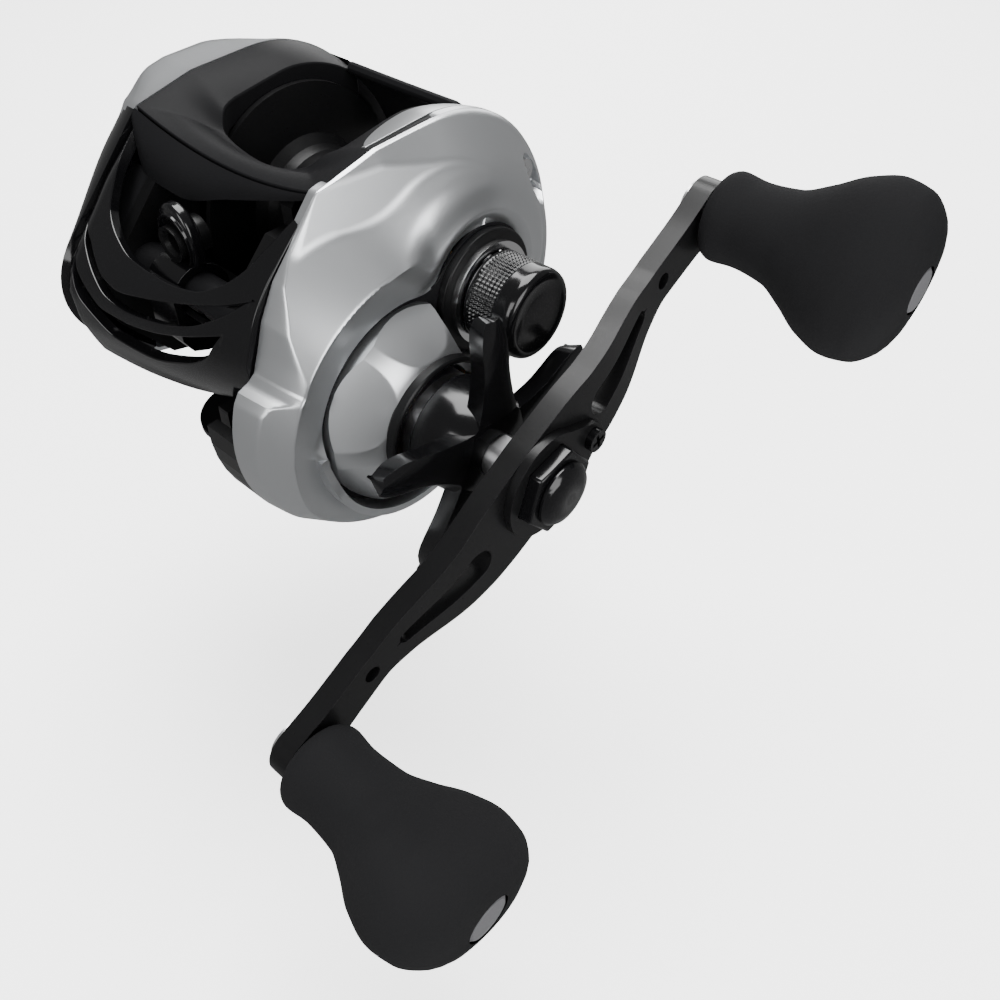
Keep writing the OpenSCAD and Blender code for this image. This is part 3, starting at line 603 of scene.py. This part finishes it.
# front hood with the line window and two slots
hood = {
    "palmY": [(7, -31.5), (8, -33), (10.5, -35.1), (14.1, -36.4), (18, -37.2), (21.2, -37.2), (23.9, -36.2),
              (27.7, -33), (30.3, -30.5), (33.9, -27), (37.3, -22.9), (40, -19.6)],
    "gearY": [(13, -29.0), (16, -31.0), (20, -32.7), (23, -33.0), (26, -32.0), (29, -30.6), (31.5, -28.8),
              (36, -24.2), (39.8, -19.6)],
    "window": [(-17.3, 39.6), (-16.2, 37.2), (-14.2, 34.4), (-12.4, 31.6), (-9.2, 29.7), (-4.4, 28.4),
               (2.1, 28.1), (7.1, 28.6), (11.1, 30.2), (14.1, 32.6), (15.8, 35.2), (17.2, 37.8),
               (18.5, 39.6)],
    "slotOneTop": [(-16.7, 29.3), (-14, 28.2), (-11.9, 26.9), (-8.7, 25.4), (-5.4, 24.9), (-0.7, 25.5),
                   (7.1, 27.1), (12.8, 28.8), (16.6, 30.3)],
    "slotOneLow": [(-16.7, 29.3), (-14, 27.2), (-10.4, 25.1), (-7.2, 23.6), (-3.4, 23.1), (2.1, 23.6),
                   (8, 25.0), (13, 27.6), (16.6, 30.3)],
    "slotTwoTop": [(-16.4, 27.0), (-14.9, 25.4), (-10.7, 22.9), (-7.7, 21.7), (-3.2, 21.5), (1.3, 22.0),
                   (7.3, 23.5), (13.6, 25.6)],
    "slotTwoLow": [(-16.4, 27.0), (-13.5, 22.2), (-10.7, 19.5), (-7.4, 17.4), (-1.4, 16.7), (5.8, 18.8),
                   (11.1, 21.8), (13.6, 25.6)],
    "lip": [(-17.3, 12.6), (-15, 11.4), (-7, 11.3), (0, 11.8), (6.6, 12.8), (15.3, 16.4), (18.5, 18.0)],
    "wall": 1.5}


def hoodFront(x, z):
    share = clamp((x - palmX) / 35.8) ** 1.5
    y = mix(curveValue(hood["palmY"], z), curveValue(hood["gearY"], z), share)
    return y + 1.6 * clamp((-14.4 - x) / 2.9) ** 2


def buildHood():
    bm = bmesh.new()

    def levels(x):
        names = ("lip", "slotTwoLow", "slotTwoTop", "slotOneLow", "slotOneTop", "window")
        found = [curveValue(hood[name], x) for name in names]
        for low, high in ((1, 2), (3, 4)):      # outside a slot its two edges meet
            line = hood[names[low]]
            if not line[0][0] < x < line[-1][0]:
                found[low] = found[high] = (found[low] + found[high]) / 2
        return found

    bands = [(0, 1, 8), (2, 3, 6), (4, 5, 12)]
    for low, high, rows in bands:
        def place(u, v, low=low, high=high):
            x = mix(palmX, seamX - 0.15, u)
            heights = levels(x)
            z = mix(heights[low], heights[high], v)
            return (x, hoodFront(x, z), z)
        wrapGrid(bm, 180, rows, place)
    bmesh.ops.remove_doubles(bm, verts=bm.verts, dist=0.01)
    hollow(bm, hood["wall"])
    return finishPiece(bm, "hoodShell", "root", materials["gloss_black"],
                       hides=["front_hood"], edge=0.35, sharp=35)


hoodShell = buildHood()
print("body covers ready")

# handle arm
arm = {
    "half": [(0, 7.4), (8, 7.1), (14, 6.3), (20, 5.4), (26, 4.0), (30.5, 3.2), (37, 3.3), (43.5, 3.9)],
    "face": [(0, 49.0), (12, 49.0), (16, 48.7), (27, 46.4), (31.5, 46.0), (48, 46.0)],
    "slot": (13.4, 2.4, 25.2, 1.1), "hole": (31.4, 1.15), "thick": 3.0, "tip": 3.9}


def armHalf(reach):
    beyond = reach - crankReach
    if beyond > 0:
        return math.sqrt(max(arm["tip"] ** 2 - beyond ** 2, 0))
    return curveValue(arm["half"], reach)


def armOpening(reach):
    near, wide, far, slim = arm["slot"]
    if near - wide < reach < near:
        return math.sqrt(wide ** 2 - (near - reach) ** 2)
    if near <= reach <= far:
        return mix(wide, slim, (reach - near) / (far - near))
    if far < reach < far + slim:
        return math.sqrt(slim ** 2 - (reach - far) ** 2)
    spot, radius = arm["hole"]
    return math.sqrt(max(radius ** 2 - (reach - spot) ** 2, 0))


def armStations():
    near, wide, far, slim = arm["slot"]
    spot, radius = arm["hole"]
    stops = {0.0, crankReach + arm["tip"]}
    stops |= {i * 1.0 for i in range(1, 48)}
    for low, high in ((near - wide, near), (far, far + slim), (spot - radius, spot + radius),
                      (crankReach, crankReach + arm["tip"])):
        stops |= {mix(low, high, 0.5 - 0.5 * math.cos(math.pi * i / 14)) for i in range(15)}
    ordered = sorted(stops)
    ordered = [r for i, r in enumerate(ordered) if i == 0 or r - ordered[i - 1] > 0.015]
    return [-r for r in reversed(ordered[1:])] + ordered


def buildHandleArm():
    bm = bmesh.new()
    stations = armStations()
    for side in (-1, 1):
        def place(u, v, side=side):
            reach = stations[round(u * (len(stations) - 1))]
            low, high = armOpening(abs(reach)), armHalf(abs(reach))
            across = side * mix(min(low, high), high, v)
            y = reach * math.cos(crankTurn) - across * math.sin(crankTurn)
            z = reach * math.sin(crankTurn) + across * math.cos(crankTurn)
            return (curveValue(arm["face"], abs(reach)), shaftAxis[0] + y, shaftAxis[1] + z)
        wrapGrid(bm, len(stations) - 1, 3, place)
    bmesh.ops.remove_doubles(bm, verts=bm.verts, dist=0.01)
    bmesh.ops.recalc_face_normals(bm, faces=bm.faces)
    if sum(f.normal.x for f in bm.faces) < 0:
        bmesh.ops.reverse_faces(bm, faces=bm.faces)
    bmesh.ops.solidify(bm, geom=bm.faces[:], thickness=arm["thick"])
    return finishPiece(bm, "crankArm", "crank", materials["black_metal"],
                       hides=["handle_arm"], edge=0.45, sharp=30)


crankArm = buildHandleArm()

# knobs: soft paddles, round at the neck and flat and broad at the end
knob = {
    "start": 46.6, "upperTurn": 52, "lowerTurn": 150, "fullness": 2.35,
    "along": [(0, 0.0), (0.04, 0.0), (0.08, 0.3), (0.14, 1.6), (0.27, 5.0), (0.41, 9.5), (0.53, 13.2),
              (0.64, 17.0), (0.76, 20.8), (0.86, 24.0), (0.93, 26.4), (0.97, 27.6), (1.0, 28.0)],
    "wide": [(0, 2.1), (0.04, 4.5), (0.08, 5.4), (0.14, 6.0), (0.27, 5.7), (0.41, 6.2), (0.53, 8.0),
             (0.64, 10.3), (0.76, 11.4), (0.86, 10.9), (0.93, 9.0), (0.97, 6.4), (1.0, 3.05)],
    "thin": [(0, 2.1), (0.04, 4.5), (0.08, 5.3), (0.14, 5.8), (0.27, 5.3), (0.41, 5.3), (0.53, 5.8),
             (0.64, 6.7), (0.76, 7.2), (0.86, 6.8), (0.93, 5.8), (0.97, 4.7), (1.0, 3.05)]}


def crankSpot(side):
    return (shaftAxis[0] + side * crankReach * math.cos(crankTurn),
            shaftAxis[1] + side * crankReach * math.sin(crankTurn))


def buildKnob(name, body, side, turn, hides):
    bm = bmesh.new()
    cy, cz = crankSpot(side)
    turn = math.radians(turn)

    def place(u, v):
        a = 2 * math.pi * u
        wide, thin = curveValue(knob["wide"], v), curveValue(knob["thin"], v)
        power = 2 / mix(2.0, knob["fullness"], clamp((wide - thin) / 3))
        ky = wide * math.copysign(abs(math.cos(a)) ** power, math.cos(a))
        kz = thin * math.copysign(abs(math.sin(a)) ** power, math.sin(a))
        return (knob["start"] + curveValue(knob["along"], v),
                cy + ky * math.cos(turn) - kz * math.sin(turn),
                cz + ky * math.sin(turn) + kz * math.cos(turn))

    wrapGrid(bm, 96, 64, place)
    return finishPiece(bm, name, body, materials["soft_grip"], hides=hides, sharp=60)


upperGrip = buildKnob("upperGrip", "upper_knob", 1, knob["upperTurn"], ["upper_knob"])
lowerGrip = buildKnob("lowerGrip", "lower_knob", -1, knob["lowerTurn"], ["lower_knob"])
print("handle ready")

# star drag: a hub with five swept blades
star = {"arms": 5, "first": 12, "tip": 19.6, "root": 5.6, "face": 41.2, "thick": 3.0,
        "half": [(5.6, 3.6), (8, 2.9), (12, 2.3), (16, 2.2), (18.2, 1.8), (19.2, 1.4), (19.6, 1.1)],
        "hub": [(3.1, 41.0), (3.1, 41.6), (5.2, 41.6), (6.6, 41.2), (7.2, 40.2), (7.6, 36.4), (7.6, 33.2),
                (7.1, 32.9), (5.4, 32.9), (5.4, 35.0)]}


def buildStar():
    bm = bmesh.new()
    for i in range(star["arms"]):
        turn = math.radians(star["first"] + 360 * i / star["arms"])

        def place(u, v, turn=turn):
            reach = mix(star["root"], star["tip"], u)
            share = (reach - star["root"]) / (star["tip"] - star["root"])
            across = curveValue(star["half"], reach) * (2 * v - 1) + 1.3 * share * share
            crown = 0.35 * (1 - (2 * v - 1) ** 2)
            y = reach * math.cos(turn) - across * math.sin(turn)
            z = reach * math.sin(turn) + across * math.cos(turn)
            return (star["face"] - 1.0 * share + crown, shaftAxis[0] + y, shaftAxis[1] + z)

        wrapGrid(bm, 16, 6, place)
    bmesh.ops.recalc_face_normals(bm, faces=bm.faces)
    for f in bm.faces:
        if f.normal.x < 0:
            f.normal_flip()
    bmesh.ops.solidify(bm, geom=bm.faces[:], thickness=star["thick"])
    turnProfile(bm, star["hub"], shaftAxis, 72)
    return finishPiece(bm, "starWheel", "star", materials["gloss_black"],
                       hides=["star_drag"], edge=0.4, sharp=35)


starWheel = buildStar()

# cast control cap with a diamond grip
castCap = {
    # share along the section, radius, x
    "profile": [(0, 5.4, 28.65), (0.04, 6.0, 28.65), (0.08, 6.25, 28.9), (0.12, 6.25, 29.3),
                (0.2, 6.25, 30.0), (0.55, 6.25, 33.2), (0.6, 6.25, 33.6), (0.66, 6.25, 34.0),
                (0.76, 6.28, 35.3), (0.84, 6.1, 36.1), (0.9, 5.6, 36.55), (0.94, 5.0, 36.65),
                (0.97, 4.6, 36.45), (1, 0.0, 36.45)],
    "grip": (29.3, 33.5), "cuts": 34, "cutDepth": 0.17}


def buildCastCap():
    bm = bmesh.new()
    radii = [(v, r) for v, r, x in castCap["profile"]]
    places = [(v, x) for v, r, x in castCap["profile"]]

    def place(u, v):
        radius, x = curveValue(radii, v), curveValue(places, v)
        start, stop = castCap["grip"]
        grip = easeStep(x, start, start + 0.3) * (1 - easeStep(x, stop - 0.3, stop)) if v < 0.8 else 0
        slant, turn = x * 1.5, u * castCap["cuts"] * 2
        ridge = math.sin(math.pi * (turn + slant)) * math.sin(math.pi * (turn - slant))
        radius -= castCap["cutDepth"] * grip * (0.5 + ridge)
        a = 2 * math.pi * u
        return (x, spoolAxis[0] + radius * math.cos(a), spoolAxis[1] + radius * math.sin(a))

    wrapGrid(bm, 340, 60, place)
    return finishPiece(bm, "castCap", "cast_cap", materials["gloss_black"],
                       hides=["cast_control_cap"], sharp=50)


castCapPiece = buildCastCap()

# thumb bar, curved round the spool
thumb = {"inner": 19.1, "outer": 21.2, "low": 15.5, "high": 54.0, "half": 11.0}


def buildThumbBar():
    bm = bmesh.new()

    def place(u, v):
        x = mix(-thumb["half"], thumb["half"], u)
        a = math.radians(mix(thumb["low"], thumb["high"], v))
        dip = 0.55 * (1 - (x / thumb["half"]) ** 2) * math.sin(math.pi * clamp(v))
        r = thumb["outer"] - dip
        return (x, spoolAxis[0] + r * math.cos(a), spoolAxis[1] + r * math.sin(a))

    wrapGrid(bm, 40, 20, place)
    bmesh.ops.recalc_face_normals(bm, faces=bm.faces)
    if sum(f.normal.z for f in bm.faces) < 0:
        bmesh.ops.reverse_faces(bm, faces=bm.faces)
    bmesh.ops.solidify(bm, geom=bm.faces[:], thickness=thumb["outer"] - thumb["inner"] - 0.5)
    return finishPiece(bm, "thumbBar", "thumb_bar", materials["black_plastic"],
                       hides=["thumb_bar"], edge=0.5)


thumbBar = buildThumbBar()

# line guide: an upright oval eye on its carriage
guide = {"x": -2.5, "front": -26.9, "back": -24.6, "z": 29.41, "eyeHalf": 3.75, "eyeTall": 5.1,
         "bore": 2.38, "tube": 3.32, "jacket": 4.5, "half": 3.1}


def buildLineGuide():
    bm = bmesh.new()
    front, back, bore = guide["front"], guide["back"], guide["bore"]
    # share round the section, half width, half height, y
    steps = [(0.0, bore, bore, back), (0.08, bore, bore, front + 0.5), (0.12, 2.45, 2.5, front + 0.9),
             (0.25, 2.9, 3.2, front + 0.5), (0.3, 3.05, 3.5, front), (0.4, 3.3, 3.9, front),
             (0.45, 3.35, 4.0, front + 0.35), (0.6, 3.6, 4.8, front + 0.5),
             (0.75, guide["eyeHalf"], guide["eyeTall"], front + 0.9),
             (0.9, guide["eyeHalf"], guide["eyeTall"], back - 0.6), (0.96, 3.2, 4.2, back),
             (1.0, bore, bore, back)]

    def eye(u, v):
        a = 2 * math.pi * u
        half = curveValue([(s[0], s[1]) for s in steps], v)
        tall = curveValue([(s[0], s[2]) for s in steps], v)
        y = curveValue([(s[0], s[3]) for s in steps], v)
        return (guide["x"] + half * math.cos(a), y, guide["z"] + tall * math.sin(a))

    wrapGrid(bm, 64, 40, eye)
    # carriage round the worm tube and the guide rod, from a ring of corner points
    shell = arcPoints(wormAxis[0], wormAxis[1], guide["jacket"], 15, 165, 14)
    shell += [(-31.0, 17.6), (-29.8, 15.4), (-27.6, 14.5), (-22.6, 14.5), (-21.9, 16.0), (-21.8, 20.0)]
    tube = arcPoints(wormAxis[0], wormAxis[1], guide["tube"], 0, 360, 48)[:-1]
    side = guide["x"] - guide["half"]
    outside = [bm.verts.new((side, y, z)) for y, z in shell]
    hole = [bm.verts.new((side, y, z)) for y, z in tube]
    rim = [bm.edges.new((a, b)) for a, b in zip(outside, outside[1:] + outside[:1])]
    edge = [bm.edges.new((a, b)) for a, b in zip(hole, hole[1:] + hole[:1])]
    filled = bmesh.ops.triangle_fill(bm, use_beauty=True, edges=rim + edge)["geom"]
    faces = [f for f in filled if isinstance(f, bmesh.types.BMFace)]
    grown = bmesh.ops.extrude_face_region(bm, geom=faces)["geom"]
    moved = [v for v in grown if isinstance(v, bmesh.types.BMVert)]
    bmesh.ops.translate(bm, vec=(2 * guide["half"], 0, 0), verts=moved)
    return finishPiece(bm, "guideEye", "line_guide", materials["gloss_black"],
                       hides=["line_guide"], edge=0.25)


guideEye = buildLineGuide()

# worm with crossed grooves
worm = {"radius": 2.2, "depth": 0.4, "pitch": 6.0, "reach": 10.4, "half": 13.0, "stub": 1.6,
        "stubLength": 4.9}


def buildWorm():
    bm = bmesh.new()

    def place(u, v):
        x = mix(-worm["half"], worm["half"], v)
        groove = 0.0
        if abs(x) < worm["reach"]:
            for way in (-1, 1):
                off = abs((u + way * x / worm["pitch"]) % 1.0 - 0.5) - 0.4
                groove = max(groove, clamp(off / 0.05))
        r = worm["radius"] - worm["depth"] * groove
        if v < 0.001 or v > 0.999:
            r = 0.3
        a = 2 * math.pi * u
        return (x, wormAxis[0] + r * math.cos(a), wormAxis[1] + r * math.sin(a))

    wrapGrid(bm, 72, 180, place)
    stub = bmesh.ops.create_cone(bm, cap_ends=True, segments=32, radius1=worm["stub"],
                                 radius2=worm["stub"], depth=worm["stubLength"])["verts"]
    bmesh.ops.rotate(bm, verts=stub, cent=(0, 0, 0), matrix=Matrix.Rotation(math.pi / 2, 3, "Y"))
    bmesh.ops.translate(bm, verts=stub, vec=(15.35, wormAxis[0], wormAxis[1]))
    return finishPiece(bm, "wormScrew", "worm", materials["dull_steel"],
                       hides=["worm_shaft"], sharp=45)


wormScrew = buildWorm()


# plain parts that only need their edges eased
def easedCopy(nodeName, pieceName, body, edge):
    subparts = frame["record"]["subparts"]
    slotName = next(p["material_slot"] for p in subparts if p["node"] == nodeName)
    bm = bmesh.new()
    bm.from_mesh(frame["nodes"][nodeName].data)
    bmesh.ops.scale(bm, vec=(1 / mm, 1 / mm, 1 / mm), verts=bm.verts)
    bmesh.ops.remove_doubles(bm, verts=bm.verts, dist=0.003)
    bmesh.ops.dissolve_limit(bm, angle_limit=math.radians(1.5), verts=bm.verts, edges=bm.edges)
    return finishPiece(bm, pieceName, body, materials[slotName],
                       hides=[nodeName], edge=edge, turned=False)


easedParts = [("handle_nut", "centreNut", "crank", 0.35), ("nut_retainer", "nutPlate", "crank", 0.25),
              ("nut_cap", "nutDome", "crank", 0.2), ("boss_collar", "bossRing", "root", 0.3),
              ("reel_foot", "rodFoot", "root", 0.3), ("brake_dial", "castBrakeDial", "brake_dial", 0.3),
              ("cap_surround", "capBase", "root", 0.2)]
for nodeName, pieceName, body, edge in easedParts:
    easedCopy(nodeName, pieceName, body, edge)
print("small parts ready")

# floor, lights and camera
lowest = cadBox[0].z
studio = {"floorDrop": 0.035, "floorSize": 6.0, "floorColour": (0.93, 0.93, 0.93, 1), "floorGlow": 1.6,
          "sky": 0.27}
floorMesh = bpy.data.meshes.new("floor")
bm = bmesh.new()
bmesh.ops.create_grid(bm, x_segments=1, y_segments=1, size=studio["floorSize"])
bmesh.ops.translate(bm, vec=(0, 0, lowest - studio["floorDrop"]), verts=bm.verts)
bm.to_mesh(floorMesh)
bm.free()
floor = bpy.data.objects.new("floor", floorMesh)
bpy.context.scene.collection.objects.link(floor)
floorMaterial = bpy.data.materials.new("paleFloor")
floorMaterial.use_nodes = True
floorShader = floorMaterial.node_tree.nodes["Principled BSDF"]
floorShader.inputs["Base Color"].default_value = studio["floorColour"]
floorShader.inputs["Roughness"].default_value = 0.9
floorShader.inputs["Specular IOR Level"].default_value = 0.1
floorShader.inputs["Emission Color"].default_value = (1, 1, 1, 1)
floorShader.inputs["Emission Strength"].default_value = studio["floorGlow"]
floorMesh.materials.append(floorMaterial)
floor.visible_glossy = False        # dark finishes would mirror it

world = bpy.data.worlds.new("softRoom")
world.use_nodes = True
world.node_tree.nodes["Background"].inputs["Color"].default_value = (1, 1, 1, 1)
world.node_tree.nodes["Background"].inputs["Strength"].default_value = studio["sky"]
bpy.context.scene.world = world

reelMiddle = Vector((0.02, -0.01, 0.018))
lamps = {"overhead": dict(place=(-0.1, 0.15, 0.6), power=10.5, size=0.45),
         "front": dict(place=(0.1, -0.55, 0.3), power=3.0, size=0.35),
         "handleSide": dict(place=(0.6, -0.1, 0.25), power=4.0, size=0.4),
         "rear": dict(place=(-0.3, 0.5, 0.25), power=2.5, size=0.4)}
for name, lamp in lamps.items():
    light = bpy.data.lights.new(name, "AREA")
    light.energy = lamp["power"]
    light.size = lamp["size"]
    lampObject = bpy.data.objects.new(name, light)
    lampObject.location = lamp["place"]
    aim = reelMiddle - Vector(lamp["place"])
    lampObject.rotation_euler = aim.to_track_quat("-Z", "Y").to_euler()
    bpy.context.scene.collection.objects.link(lampObject)

view = {"place": (0.1001, -0.0800, 0.0922), "aim": (-0.462, 0.525, -0.715), "lens": 33.62, "sensor": 36.0}
cameraData = bpy.data.cameras.new("camera")
cameraData.lens = view["lens"]
cameraData.sensor_width = view["sensor"]
cameraData.clip_start = 0.005
camera = bpy.data.objects.new("camera", cameraData)
camera.location = view["place"]
camera.rotation_euler = Vector(view["aim"]).to_track_quat("-Z", "Y").to_euler()
bpy.context.scene.collection.objects.link(camera)
bpy.context.scene.camera = camera
print("studio ready")
